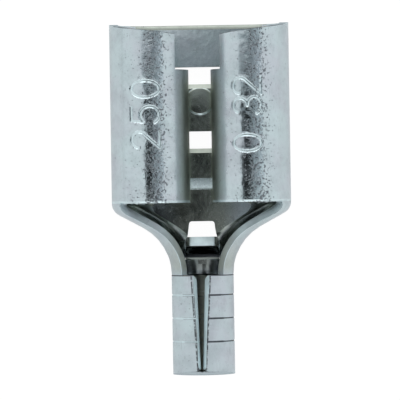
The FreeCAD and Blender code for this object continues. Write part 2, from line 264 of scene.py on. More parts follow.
def bent_surfaces(sizes):
    """Axis and radius of each bent face of the sheet that the mesh draws with flat strips."""
    found = [(*axis, sizes.roll_radius - inset) for axis in roll_axes(sizes) for inset in (0.0, sizes.sheet)]
    found += [(0.0, sizes.barrel_radius, sizes.barrel_radius - inset) for inset in (0.0, sizes.sheet)]
    return found


def slice_faces(bm, faces, planes):
    """Cuts these faces, and nothing else, along each plane, and returns what they became."""
    parts = set(faces)
    for face in faces:
        parts.update(face.edges)
        parts.update(face.verts)
    parts = list(parts)
    for point, normal in planes:
        cut = bmesh.ops.bisect_plane(bm, geom=parts, dist=1e-9, plane_co=point, plane_no=normal)
        parts = cut["geom"]
    return [part for part in parts if isinstance(part, bmesh.types.BMFace)]


def slice_evenly(bm, faces, planes):
    """Cuts these faces along planes that stand in order, halving the work at each cut."""
    if not planes or not faces:
        return
    middle = len(planes) // 2
    point, normal = (Vector(part) for part in planes[middle])
    sides = ([], [])
    for face in slice_faces(bm, faces, [planes[middle]]):
        ahead = (face.calc_center_median() - point).dot(normal) > 0.0
        sides[ahead].append(face)
    slice_evenly(bm, sides[0], planes[:middle])
    slice_evenly(bm, sides[1], planes[middle + 1:])


def radial_plane(axis_x, axis_z, angle):
    """Plane through an axis along Y, at this angle from straight up."""
    return (axis_x, 0.0, axis_z), (math.cos(angle), 0.0, -math.sin(angle))


def cross_plane(y):
    """Plane across the part at this place along it."""
    return (0.0, y, 0.0), (0.0, 1.0, 0.0)


def on_bend(face, axis_x, axis_z, radius):
    """Whether a face lies on the bend of this radius about an axis along Y."""
    centre = face.calc_center_median()
    dx, dz = centre.x - axis_x, centre.z - axis_z
    away = math.hypot(dx, dz)
    along = (face.normal.x * dx + face.normal.z * dz) / max(away, 1e-9)
    return abs(away - radius) < ON_BEND and abs(along) > 0.95


def roll_faces(bm, axis, sizes):
    """Faces on the outside of one roll."""
    return [f for f in bm.faces if f.calc_center_median().y > sizes.roll_rear
            and on_bend(f, *axis, sizes.roll_radius)]


def barrel_faces(bm, sizes):
    """Faces on the outside of the barrel."""
    return [f for f in bm.faces if f.calc_center_median().y < sizes.barrel_front
            and on_bend(f, 0.0, sizes.barrel_radius, sizes.barrel_radius)]


def refine_bends(mesh, sizes, step):
    """Divides the bends into even strips of this angle, with their points on the true radius."""
    count = round(math.pi / step)
    with cutting(mesh) as bm:
        for axis_x, axis_z, radius in bent_surfaces(sizes):
            is_roll = axis_x != 0.0
            faces = [f for f in bm.faces if (f.calc_center_median().y > sizes.roll_rear - NEAR) == is_roll
                     and on_bend(f, axis_x, axis_z, radius)]
            slice_faces(bm, faces, [radial_plane(axis_x, axis_z, (i + 0.37) * step) for i in range(count)])
        large = [f for f in bm.faces if len(f.verts) > 10]
        bmesh.ops.triangulate(bm, faces=large)
    true_bends(mesh, sizes)


def true_bends(mesh, sizes):
    """Moves points that lie just inside a bend out to its true radius."""
    rows = places(mesh)
    for axis_x, axis_z, radius in bent_surfaces(sizes):
        r, angle = round_axis(rows, axis_x, axis_z)
        inside = (r > radius - 0.0055 * MM) & (r < radius)
        inside &= (rows[:, 1] > sizes.roll_rear - NEAR) == (axis_x != 0.0)
        put_round(rows, inside, (axis_x, axis_z), radius, angle)
    rows[:, 2] = np.clip(rows[:, 2], CAD_BOX[0].z, CAD_BOX[1].z)
    put_places(mesh, rows)


def weigh_edges(mesh, width, sizes):
    """Bevel weight of each edge: full on a plain sheared edge, less where a face beside it is narrow.

    The barrel's front edge has none up to wall_top, where the shoulder runs into it."""
    wall_top = sizes.barrel_radius * (1.0 - math.cos(math.radians(138.0)))
    sharp = math.cos(math.radians(38.0))
    beside = {}
    for face in mesh.polygons:
        round_it = sum(edge_length(mesh, e) for e in edges_of(mesh, face))
        for e in edges_of(mesh, face):
            room = 2.0 * face.area / round_it
            if len(face.vertices) == 4:
                room = max(room, face.area / max(edge_length(mesh, e), 1e-7))
            beside.setdefault(e, []).append((face.normal, room))
    weights = {}
    for e, sides in beside.items():
        ends = [mesh.vertices[v].co for v in mesh.edges[e].vertices]
        if all(abs(end.y - sizes.barrel_front) < 0.004 * MM and end.z < wall_top for end in ends):
            continue
        if len(sides) == 2 and sides[0][0].dot(sides[1][0]) < sharp:
            share = edge_share(ends, sizes)
            weights[e] = min(share, min(sides[0][1], sides[1][1]) / (1.8 * width))
    for _ in range(3):
        at = {}
        for e, weight in weights.items():
            for v in mesh.edges[e].vertices:
                at.setdefault(v, []).append(weight)
        mean = {v: sum(ws) / len(ws) for v, ws in at.items()}
        low = {v: min(ws) for v, ws in at.items()}
        for e in weights:
            a, b = mesh.edges[e].vertices
            weights[e] = min(weights[e] * 1.25, (mean[a] + mean[b] + low[a] + low[b]) / 4.0)
    return weights


def edge_share(ends, sizes):
    """How wide an edge is rubbed, as a share of the widest: most at the ends of the rolls' outside."""
    middle = (ends[0] + ends[1]) / 2.0
    for axis_x, axis_z in roll_axes(sizes):
        away = math.hypot(middle.x - axis_x, middle.z - axis_z)
        if abs(away - sizes.roll_radius) < ON_WORN_BEND and middle.z > 1.2 * sizes.roll_radius:
            if abs(middle.y - sizes.roll_rear) < ON_WORN_BEND:
                return 1.0
            if middle.y > WING_FRONT:
                return 0.5
    return 0.45


def edges_of(mesh, face):
    return [mesh.loops[i].edge_index for i in face.loop_indices]


def edge_length(mesh, e):
    a, b = mesh.edges[e].vertices
    return (mesh.vertices[a].co - mesh.vertices[b].co).length


def rub_edges(piece, node, width, sizes):
    """Rounds every sheared edge a little, then brings stray points back to the sheet."""
    pick_only(piece)
    weights = piece.data.attributes.new("bevel_weight_edge", "FLOAT", "EDGE")
    for e, weight in weigh_edges(piece.data, width, sizes).items():
        weights.data[e].value = weight
    bevel = piece.modifiers.new("rubbed edges", "BEVEL")
    bevel.width = width
    bevel.segments = 2
    bevel.limit_method = "WEIGHT"
    bevel.use_clamp_overlap = False
    bevel.material = RUBBED_AND_HIGHLIT
    bpy.ops.object.modifier_apply(modifier=bevel.name)
    mesh = piece.data
    deps = bpy.context.evaluated_depsgraph_get()
    tree = BVHTree.FromObject(node, deps)
    rows = places(mesh)
    for i, row in enumerate(rows):
        point, _, _, distance = tree.find_nearest(Vector(row))
        if distance > 0.75 * width:
            rows[i] = point
    low, high = CAD_BOX
    rows = np.clip(rows, list(low), list(high))
    put_places(mesh, rows)


def dome_dimple(piece, sizes):
    """Lowers the dimple on the bridge to a small step with a slightly domed top."""
    mesh = piece.data
    x, y, z = face_centres(mesh).T
    level = sizes.sheet
    upward = rows_of(mesh.polygons, "normal")[:, 2] > 0.2
    away = np.hypot(x, y - sizes.dimple_place)
    select_faces(piece, (away < sizes.dimple_radius) & (z > level + 0.004 * MM) & upward)
    bpy.ops.mesh.subdivide(number_cuts=5, smoothness=0.0)
    bpy.ops.object.mode_set(mode="OBJECT")
    rows = places(mesh)
    away = np.hypot(rows[:, 0], rows[:, 1] - sizes.dimple_place) / sizes.dimple_radius
    inside = (away < 0.995) & (rows[:, 2] > level + 0.001 * MM)
    cap = 0.010 * MM * (1.0 - (away[inside] / 0.9) ** 2)
    step = 0.045 * MM * np.clip((1.0 - away[inside]) / 0.1, 0.0, 1.0)
    rows[inside, 2] = level + np.maximum(cap, 0.0) + step
    put_places(mesh, rows)


def ease_ends(mesh, sizes):
    """Rolls the rear rims of the rolls over a little and darkens a thin line round the barrel's front."""
    wide = sizes.edge_round * 1.2
    thin = 0.045 * MM
    with cutting(mesh) as bm:
        for axis in roll_axes(sizes):
            cuts = [cross_plane(sizes.roll_rear + share * wide) for share in (1.0, 0.5)]
            slice_faces(bm, roll_faces(bm, axis, sizes), cuts)
        slice_faces(bm, barrel_faces(bm, sizes), [cross_plane(sizes.barrel_front - thin)])
    true_bends(mesh, sizes)
    rows = places(mesh)
    centres = face_centres(mesh)
    slots = slots_of(mesh)
    skin = sizes.roll_radius - 0.03 * MM
    rear = sizes.roll_rear - 0.002 * MM
    for axis in roll_axes(sizes):
        r, angle = round_axis(rows, *axis)
        depth = np.clip((sizes.roll_rear + wide - rows[:, 1]) / wide, 0.0, 1.0)
        rim = (r > skin) & (np.abs(angle) < RIM_REACH) & (rows[:, 1] > rear) & (depth > 0.0)
        fade = np.clip((RIM_REACH - np.abs(angle[rim])) / 0.2, 0.0, 1.0)
        put_round(rows, rim, axis, r[rim] - 0.5 * wide * fade * depth[rim] ** 1.6, angle)
        r, angle = round_axis(centres, *axis)
        edge = (r > skin) & (np.abs(angle) < RIM_REACH)
        edge &= (centres[:, 1] > rear) & (centres[:, 1] < sizes.roll_rear + 0.8 * wide)
        slots[edge & (slots != SHEARED)] = RUBBED_AND_HIGHLIT
    put_places(mesh, rows)
    r, angle = round_axis(centres, 0.0, sizes.barrel_radius)
    line = (r > sizes.barrel_radius - ON_WORN_BEND) & (np.abs(angle) < 1.5)
    line &= (centres[:, 1] < sizes.barrel_front + 0.004 * MM) & (centres[:, 1] > sizes.barrel_front - thin)
    slots[line] = DARKENED
    put_slots(mesh, slots)


def slope_stop(mesh):
    """Slopes the sheared end of the stop tab towards the front and fits its root closer in the opening."""
    rows = places(mesh)
    x, y, z = rows.T
    aside = np.abs(x)
    back = -1.93 * MM
    end = (aside < 0.75 * MM) & (y > back) & (y < STOP_END) & (z > 1.15 * MM)
    rows[end, 2] -= 0.42 * (rows[end, 1] - back)
    root = between(aside, 0.60, 0.715) & between(y, -2.56, -1.5) & (z < 1.0 * MM)
    share = np.clip((1.0 * MM - z[root]) / (0.4 * MM), 0.0, 1.0)
    rows[root, 0] += np.sign(x[root]) * 0.035 * MM * share
    put_places(mesh, rows)


def lean_rear(mesh):
    """Leans the barrel's rear end a little further, so that its lower lip shows from above."""
    rows = places(mesh)
    share = np.clip((BARREL_END - rows[:, 1]) / (0.3 * MM), 0.0, 1.0)
    rows[:, 1] += 0.05 * rows[:, 2] * share
    put_places(mesh, rows)


def trace_places(sizes):
    """Place along the barrel of each serration's line."""
    return [sizes.trace_first - i * sizes.trace_pitch for i in range(TRACES)]


def press_traces(mesh, sizes):
    """Carries the line that each serration leaves on the barrel down to its sides, and paints it: a painted
    highlight on the left half, painted shade on the right.
    """
    marks = trace_places(sizes)
    half = sizes.trace_width / 2.0
    shares = (-1.0, -0.5, 0.0, 0.5, 1.0)
    with cutting(mesh) as bm:
        cuts = [cross_plane(y + half * share) for y in reversed(marks) for share in shares]
        slice_evenly(bm, barrel_faces(bm, sizes), cuts)
    true_bends(mesh, sizes)
    rows = places(mesh)
    axis = (0.0, sizes.barrel_radius)
    r, angle = round_axis(rows, *axis)
    outside = (np.abs(r - sizes.barrel_radius) < 0.004 * MM) & (np.abs(angle) > 0.73)
    outside &= np.abs(angle) < TRACE_REACH
    for y in marks:
        away = np.abs(rows[:, 1] - y) / half
        here = outside & (away < 0.99)
        fade = np.clip((TRACE_REACH - np.abs(angle[here])) / 0.12, 0.0, 1.0)
        radius = sizes.barrel_radius - sizes.trace_depth * (1.0 - away[here] ** 2) * fade
        put_round(rows, here, axis, radius, angle)
    put_places(mesh, rows)
    centres = face_centres(mesh)
    slots = slots_of(mesh)
    r, angle = round_axis(centres, *axis)
    nearest = np.min([np.abs(centres[:, 1] - y) for y in marks], axis=0)
    groove = (r > sizes.barrel_radius - 1.3 * sizes.trace_depth) & (np.abs(angle) < 1.7)
    groove &= (slots != SHEARED) & (nearest < 0.62 * half)
    # Painted highlight on the left half of each line, painted shade on the right.
    slots[groove & (centres[:, 0] < 0.0)] = RUBBED_AND_HIGHLIT
    slots[groove & (centres[:, 0] > 0.0) & (nearest < 0.3 * half)] = DARKENED
    put_slots(mesh, slots)


def clean_ends(mesh, sizes):
    """Splits the flat sheared ends of the wings and the barrel anew, so that no triangles overlap there."""

    def flat_end(face):
        y = face.calc_center_median().y
        known = min(abs(y - WING_STEP), abs(y - sizes.barrel_front)) < NEAR or y < BARREL_END
        return known and face.material_index == SHEARED and abs(face.normal.y) > 0.98

    with cutting(mesh) as bm:
        flat = [face for face in bm.faces if flat_end(face)]
        joined = bmesh.ops.dissolve_faces(bm, faces=flat, use_verts=False)["region"]
        bmesh.ops.triangulate(bm, faces=joined)


def darken_edges(mesh, sizes):
    """Darkens rubbed strips: painted shade in the crease round the seam, and a dark strip at the barrel's rear
    rim and along the front of the rolls.
    """
    centres = face_centres(mesh)
    _, y, z = centres.T
    slots = slots_of(mesh)
    rubbed_and_highlit = slots == RUBBED_AND_HIGHLIT
    rim = 0.045 * MM
    r, _ = round_axis(centres, 0.0, sizes.barrel_radius)
    outside = r > sizes.barrel_radius - rim
    seam = outside & (y < sizes.barrel_front + rim) & (z > 1.75 * sizes.barrel_radius)
    rear = outside & (y < -7.2 * MM) & (z > 1.2 * sizes.barrel_radius)
    slots[rubbed_and_highlit & (seam | rear)] = DARKENED
    for axis in roll_axes(sizes):
        r, _ = round_axis(centres, *axis)
        front = (r > sizes.roll_radius - rim) & (y > WING_FRONT) & (z > 1.45 * sizes.roll_radius)
        slots[rubbed_and_highlit & front] = DARKENED
    put_slots(mesh, slots)


def smooth(piece, node, own, sizes):
    """Smooth shading: the part's own surface normals on plain faces, weighted ones on edges and marks."""
    pick_only(piece)
    bpy.ops.object.shade_smooth_by_angle(angle=math.radians(32.0))
    weighted = piece.modifiers.new("weighted normals", "WEIGHTED_NORMAL")
    weighted.weight = 90
    weighted.keep_sharp = True
    bpy.ops.object.modifier_apply(modifier=weighted.name)
    mesh, source = piece.data, node.data
    source.calc_loop_triangles()
    triangles = source.loop_triangles
    given = corner_normals(source)
    tree = BVHTree.FromPolygons([v.co for v in source.vertices], [t.vertices[:] for t in triangles])
    normals = corner_normals(mesh)
    for face in mesh.polygons:
        if own[face.index] or face.material_index in (RUBBED_AND_HIGHLIT, DARKENED) or abs(face.normal.y) > 0.97:
            continue
        for i in face.loop_indices:
            corner = mesh.vertices[mesh.loops[i].vertex_index].co
            inward = face.center - corner
            spot = corner + inward * min(0.2, 0.01 * MM / max(inward.length, 1e-9))
            point, flat, index, away = tree.find_nearest(spot)
            if away > ON_BEND or flat.dot(face.normal) < 0.8:
                continue
            triangle = triangles[index]
            a, b, c = (source.vertices[v].co for v in triangle.vertices)
            ends = [Vector(given[loop]) for loop in triangle.loops]
            smooth_one = barycentric_transform(point, a, b, c, *ends).normalized()
            if smooth_one.dot(face.normal) > 0.9:
                normals[i] = smooth_one
    for face in mesh.polygons:
        low = face.center.y > LEAD_IN and face.center.z < 0.5 * MM and abs(face.center.x) < 3.3 * MM
        lead_in = low and face.normal.y > 0.12 and 0.2 < face.normal.z < 0.97
        for i in face.loop_indices:
            corner = mesh.vertices[mesh.loops[i].vertex_index].co
            if lead_in and corner.y < face.center.y:
                past = max(0.0, abs(corner.x) - sizes.roll_offset)
                inward = Vector((-math.copysign(past, corner.x), 0.0, sizes.roll_radius - corner.z))
                normals[i] = inward.normalized()
            if face.normal.dot(Vector(normals[i])) < 0.4:
                normals[i] = face.normal
    mesh.normals_split_custom_set([tuple(n) for n in normals])


def corner_normals(mesh):
    flat = np.zeros(len(mesh.loops) * 3, np.float32)
    mesh.corner_normals.foreach_get("vector", flat)
    return flat.reshape(-1, 3)


def sort_faces(mesh, sizes):
    """Gives the sheared faces and the insides of the bends their own material slots; the darker slots paint
    shade in hollows, on chamfers and by the stop, and the brighter rubbed slot a highlight on a few faces.
    """
    centres = face_centres(mesh)
    x, y, z = centres.T
    nx, ny, nz = rows_of(mesh.polygons, "normal").T
    aside = np.abs(x)
    outward = nx * np.sign(x)
    slots = slots_of(mesh)
    bare = slots == TIN
    ahead = y > sizes.roll_rear - 0.001 * MM
    for axis in roll_axes(sizes):
        r, _ = round_axis(centres, *axis)
        # Painted shade: the insides of the rolls and the barrel take the cavity finish.
        slots[bare & ahead & (np.abs(r - sizes.roll_radius + sizes.sheet) < ON_WORN_BEND)] = CAVITY_SHADE
    r, _ = round_axis(centres, 0.0, sizes.barrel_radius)
    behind = y < sizes.barrel_front + 0.001 * MM
    slots[bare & behind & (r < sizes.barrel_radius - sizes.sheet + 0.09 * MM)] = CAVITY_SHADE
    slots[(slots != RUBBED_AND_HIGHLIT) & (np.abs(ny) > 0.9)] = SHEARED

    shoulder = (y < sizes.roll_rear) & (y > sizes.barrel_front)
    cut = shoulder & (outward < -0.2) & (nz > 0.5) & (z > 1.2 * MM)
    slots[(slots == TIN) & cut] = SHEARED
    inside = (outward < -0.1) | ((nz > 0.6) & (z < 1.2 * MM))
    inside |= (aside < 0.72 * MM) & (y < -1.9 * MM) & (ny < -0.1)
    # Painted shade: the shoulder's inner faces take the corner finish.
    slots[(slots == TIN) & shoulder & (z > 0.3 * MM) & inside] = SHADED_CORNER

    chamfer = (aside < 1.2 * MM) & between(y, 1.2, 6.4) & (z < sizes.sheet - NEAR)
    chamfer &= (nz > 0.3) & (nz < 0.95) & (np.abs(ny) > 0.3)
    lead_in = (y > LEAD_IN) & (z < 0.5 * MM) & (aside < 3.3 * MM) & (ny > 0.12) & (nz > 0.2) & (nz < 0.97)
    lip = (y < -7.1 * MM) & (ny < -0.15) & (nz > 0.1) & (z < 1.3 * MM)
    # Painted shade: the window chamfers, the lead-in and the barrel's rear lip take the cavity finish.
    slots[chamfer | lead_in | lip] = CAVITY_SHADE

    stop = shoulder & (aside < 0.8 * MM) & (z > 1.25 * MM) & (nz > 0.9)
    ramp = (aside < 1.45 * MM) & between(y, 0.50, 0.97) & (z > sizes.sheet) & (z < 0.6 * MM)
    ramp &= (nz > 0.9) & (nz < 0.99)
    seam = (y < sizes.barrel_front) & (aside < 0.6 * MM) & (z > 2.2 * MM) & (nz > 0.3)
    seam &= r < sizes.barrel_radius - 0.006 * MM
    away = np.hypot(x, y - sizes.dimple_place) / sizes.dimple_radius
    rim = (away > 0.89) & (away < 1.0) & (y < sizes.dimple_place)
    rim &= (z > sizes.sheet + 0.001 * MM) & (z < 0.6 * MM)
    # Painted highlight: the stop's top, the ramp, the seam's bevels and the dimple's rim take the brighter
    # rubbed finish.
    slots[(slots == TIN) & (stop | ramp | seam | rim)] = RUBBED_AND_HIGHLIT

    # Painted shade: the slits by the stop's root and the ledge before it take the dark finish.
    slits = (slots == RUBBED_AND_HIGHLIT) & between(aside, 0.6, 0.85) & between(y, -2.62, -2.35) & between(z, 0.28, 0.46)
    ledge = (aside < 0.85 * MM) & between(y, -2.62, -2.30) & between(z, 0.3, 0.6) & (ny < -0.15)
    slots[slits | ledge] = DARKENED
    put_slots(mesh, slots)


class OBJECT_OT_terminal_sheet(Operator):
    """Copy the rolled sheet, refine its bends and rub its edges"""

    bl_idname = "object.terminal_sheet"
    bl_label = "Rolled Sheet"

    def execute(self, context):
        sizes = context.scene.terminal_sizes
        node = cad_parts[CAD_NODE]
        mesh = node.data.copy()
        mesh.name = PIECE
        mesh.materials.clear()
        piece = bpy.data.objects.new(PIECE, mesh)
        context.scene.collection.objects.link(piece)
        for name in FINISHES:
            mesh.materials.append(bpy.data.materials.new(name))
        pick_only(piece)
        bpy.ops.object.mode_set(mode="EDIT")
        bpy.ops.mesh.customdata_custom_splitnormals_clear()
        bpy.ops.mesh.select_all(action="SELECT")
        bpy.ops.mesh.remove_doubles(threshold=MERGE)
        bpy.ops.mesh.select_all(action="SELECT")
        bpy.ops.mesh.dissolve_limited(angle_limit=math.radians(0.6))
        bpy.ops.object.mode_set(mode="OBJECT")
        refine_bends(mesh, sizes, math.radians(3.0))
        rub_edges(piece, node, sizes.edge_round, sizes)
        dome_dimple(piece, sizes)
        sort_faces(mesh, sizes)
        darken_edges(mesh, sizes)
        ease_ends(mesh, sizes)
        slope_stop(mesh)
        lean_rear(mesh)
        press_traces(mesh, sizes)
        clean_ends(mesh, sizes)
        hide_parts(CAD_NODE)
        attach(piece, "root")
        return {"FINISHED"}


# ------------ numbers


def arc(cx, cy, rx, ry, start, finish, steps=14):
    """Points round an ellipse, in degrees, counterclockwise from the right."""
    points = []
    for i in range(steps + 1):
        a = math.radians(start + (finish - start) * i / steps)
        points.append((cx + rx * math.cos(a), cy + ry * math.sin(a)))
    return points


# Each numeral is a list of strokes in a box one wide and one tall.
NUMERALS = {
    "0": [arc(0.5, 0.5, 0.5, 0.5, 0, 360, 36)],
    "2": [arc(0.5, 0.72, 0.48, 0.28, 170, -30) + [(0.0, 0.0), (1.0, 0.0)]],
    "3": [arc(0.46, 0.74, 0.44, 0.26, 160, -90), arc(0.46, 0.24, 0.52, 0.25, 90, -160)],
    "5": [[(0.92, 1.0), (0.12, 1.0), (0.04, 0.56)] + arc(0.46, 0.34, 0.52, 0.34, 130, -150, 18)],
}


def strokes(text, start, pitch, numbers):
    """Line pieces of a run of numerals, as y and distance round the roll from the crest."""
    lines = []
    for i, numeral in enumerate(text):
        if numeral == " ":
            continue
        left = start + pitch * i
        for stroke in NUMERALS[numeral]:
            points = [(left + a * numbers.wide, numbers.foot - b * numbers.tall) for a, b in stroke]
            lines += list(zip(points[:-1], points[1:]))
    return np.array(lines)


def distance_to(lines, points):
    """Shortest distance from each point to any of the line pieces."""
    best = np.full(len(points), 1.0)
    for a, b in lines:
        span = b - a
        share = np.clip((points - a) @ span / max(span @ span, 1e-18), 0.0, 1.0)
        away = points - (a + share[:, None] * span)
        best = np.minimum(best, np.hypot(away[:, 0], away[:, 1]))
    return best


def fine_patch(mesh, axis, sizes, numbers):
    """Divides the crest of one roll finely where its numbers stand."""
    low, high = PATCH_ALONG
    first, last = PATCH_ROUND

    def in_patch(face):
        centre = face.calc_center_median()
        angle = math.atan2(centre.x - axis[0], centre.z - axis[1])
        return first < angle < last and low < centre.y < high and on_bend(face, *axis, sizes.roll_radius)

    rows = int((high - low) / numbers.grid)
    columns = int((last - first) * sizes.roll_radius / numbers.grid)
    along = [cross_plane(low + (high - low) * i / rows) for i in range(1, rows)]
    around = [radial_plane(*axis, first + (last - first) * i / columns) for i in range(1, columns)]
    with cutting(mesh) as bm:
        faces = [f for f in roll_faces(bm, axis, sizes) if f.calc_center_median().z > sizes.roll_radius]
        borders = [cross_plane(low), cross_plane(high), radial_plane(*axis, first), radial_plane(*axis, last)]
        faces = slice_faces(bm, faces, borders)
        slice_evenly(bm, [f for f in faces if in_patch(f)], along)
        slice_evenly(bm, [f for f in bm.faces if in_patch(f)], around)
    true_bends(mesh, sizes)


def press(mesh, axis, lines, sizes, numbers):
    """Presses strokes into the crest of one roll and raises a thin rim beside them."""
    rows = places(mesh)
    low, high = PATCH_ALONG
    r, angle = round_axis(rows, *axis)
    here = (r > sizes.roll_radius - ON_BEND) & (np.abs(angle) < 0.7) & (rows[:, 1] > low) & (rows[:, 1] < high)
    flat = np.stack([rows[here, 1], angle[here] * sizes.roll_radius], axis=1)
    away = distance_to(lines, flat) / (numbers.stroke / 2.0)
    groove = np.where(away < 1.0, np.cos(np.clip(away, 0.0, 1.0) * math.pi / 2.0) ** 0.8, 0.0)
    rim = np.exp(-((away - 1.25) / 0.28) ** 2)
    radius = sizes.roll_radius - numbers.depth * groove + numbers.rim * rim
    put_round(rows, here, axis, radius, angle)
    rows[:, 2] = np.minimum(rows[:, 2], CAD_BOX[1].z)
    put_places(mesh, rows)
    centres = face_centres(mesh)
    r, angle = round_axis(centres, *axis)
    slots = slots_of(mesh)
    sunk = (r < sizes.roll_radius - 0.35 * numbers.depth) & (r > sizes.roll_radius - 1.2 * numbers.depth)
    sunk &= (np.abs(angle) < 0.6) & (centres[:, 1] > low) & (centres[:, 1] < high)
    # Painted highlight: the sunk faces of the strokes take the brighter rubbed finish.
    slots[sunk & (slots == TIN)] = RUBBED_AND_HIGHLIT
    put_slots(mesh, slots)


def own_forms(mesh, sizes):
    """Faces whose shape only the piece has, so that they keep their own normals."""
    centres = face_centres(mesh)
    x, y, z = centres.T
    own = np.hypot(x, y - sizes.dimple_place) < 1.02 * sizes.dimple_radius
    own |= (np.abs(x) < 0.75 * MM) & (y < STOP_END) & (z > 1.1 * MM)
    along = (y > PATCH_ALONG[0]) & (y < PATCH_ALONG[1])
    for axis in roll_axes(sizes):
        r, angle = round_axis(centres, *axis)
        around = (angle > PATCH_ROUND[0]) & (angle < PATCH_ROUND[1])
        own |= (r > 0.9 * sizes.roll_radius) & along & around
    r, _ = round_axis(centres, 0.0, sizes.barrel_radius)
    for line in trace_places(sizes):
        own |= (r > 0.9 * sizes.barrel_radius) & (np.abs(y - line) < sizes.trace_width)
    return own


class OBJECT_OT_terminal_numbers(Operator):
    """Press the generic size numbers into the crests of the rolls"""

    bl_idname = "object.terminal_numbers"
    bl_label = "Pressed Numbers"

    def execute(self, context):
        sizes = context.scene.terminal_sizes
        numbers = context.scene.terminal_numbers
        piece = bpy.data.objects[PIECE]
        runs = (strokes("250", 2.24 * MM, 1.07 * MM, numbers), strokes("0 32", 2.05 * MM, 0.80 * MM, numbers))
        for axis, lines in zip(roll_axes(sizes), runs):
            fine_patch(piece.data, axis, sizes, numbers)
            press(piece.data, axis, lines, sizes, numbers)
        own = own_forms(piece.data, sizes)
        smooth(piece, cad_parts[CAD_NODE], own, sizes)
        return {"FINISHED"}


# ------------ materials

# Places in the textures, in millimetres: the ends of the barrel, and a crest from the middle.
BARREL_FRONT, BARREL_REAR = -3.15, -7.52
CREST_X = 2.14
GREY = (0.5, 0.5, 0.5, 1.0)


def fill(node, values):
    """Writes plain values in a node's inputs, by socket name."""
    for socket, value in values.items():
        node.inputs[socket].default_value = value


class Nodes:
    """Short way to place and join nodes in one tree."""

    def __init__(self, tree):
        self.tree = tree
        tree.nodes.clear()

    def add(self, kind, **values):
        node = self.tree.nodes.new(kind)
        for name, value in values.items():
            setattr(node, name, value)
        return node

    def join(self, source, target):
        self.tree.links.new(source, target)

    def show(self, source, kind="ShaderNodeOutputMaterial"):
        """Joins a shader to the tree's output."""
        self.join(source, self.add(kind).inputs["Surface"])

    def put(self, socket, value):
        """Joins a socket to the target, or writes a plain value in it."""
        if isinstance(value, bpy.types.NodeSocket):
            self.join(value, socket)
        else:
            socket.default_value = value

    def mix(self, share, first, second):
        node = self.add("ShaderNodeMix", data_type="RGBA")
        self.put(node.inputs[0], share)
        self.put(node.inputs[6], first)
        self.put(node.inputs[7], second)
        return node.outputs[2]

    def math(self, operation, first, second=0.0, third=0.0):
        node = self.add("ShaderNodeMath", operation=operation)
        self.put(node.inputs[0], first)
        self.put(node.inputs[1], second)
        self.put(node.inputs[2], third)
        return node.outputs[0]

    def times(self, *values):
        """Product of two or more values."""
        result = values[0]
        for value in values[1:]:
            result = self.math("MULTIPLY", result, value)
        return result

    def scaled(self, value, share, added):
        """The value times a share, with something added."""
        return self.math("MULTIPLY_ADD", value, share, added)

    def apart(self, vector):
        """The three parts of a vector."""
        node = self.add("ShaderNodeSeparateXYZ")
        self.join(vector, node.inputs[0])
        return node.outputs

    def noise(self, vector, scale, detail=2.0, rough=0.5, distortion=0.0):
        node = self.add("ShaderNodeTexNoise")
        self.join(vector, node.inputs["Vector"])
        fill(node, {"Scale": scale, "Detail": detail, "Roughness": rough, "Distortion": distortion})
        return node.outputs["Fac"]

    def spread(self, value, low, high):
        """Maps low to high onto nought to one, and holds it there."""
        node = self.add("ShaderNodeMapRange")
        self.put(node.inputs["Value"], value)
        fill(node, {"From Min": low, "From Max": high})
        return node.outputs["Result"]

    def stretch(self, vector, scale, turn=(0.0, 0.0, 0.0)):
        node = self.add("ShaderNodeMapping")
        self.join(vector, node.inputs["Vector"])
        fill(node, {"Rotation": [math.radians(a) for a in turn], "Scale": scale})
        return node.outputs["Vector"]


def group(name, inputs, outputs):
    """New shader node group with these inputs and their values; returns its nodes, inputs and outputs."""
    tree = bpy.data.node_groups.new(name, "ShaderNodeTree")
    for socket, value in inputs.items():
        kind = "NodeSocketFloat" if isinstance(value, float) else "NodeSocketColor"
        tree.interface.new_socket(name=socket, in_out="INPUT", socket_type=kind).default_value = value
    for socket in outputs:
        kind = "NodeSocketColor" if socket == "Color" else "NodeSocketFloat"
        tree.interface.new_socket(name=socket, in_out="OUTPUT", socket_type=kind)
    nodes = Nodes(tree)
    entry = nodes.add("NodeGroupInput")
    leave = nodes.add("NodeGroupOutput")
    return nodes, entry.outputs, leave.inputs


def in_millimetres(nodes):
    """Object coordinates in millimetres, so that a texture's scale is marks per millimetre."""
    place = nodes.add("ShaderNodeTexCoord")
    return nodes.stretch(place.outputs["Object"], (1.0 / MM,) * 3)


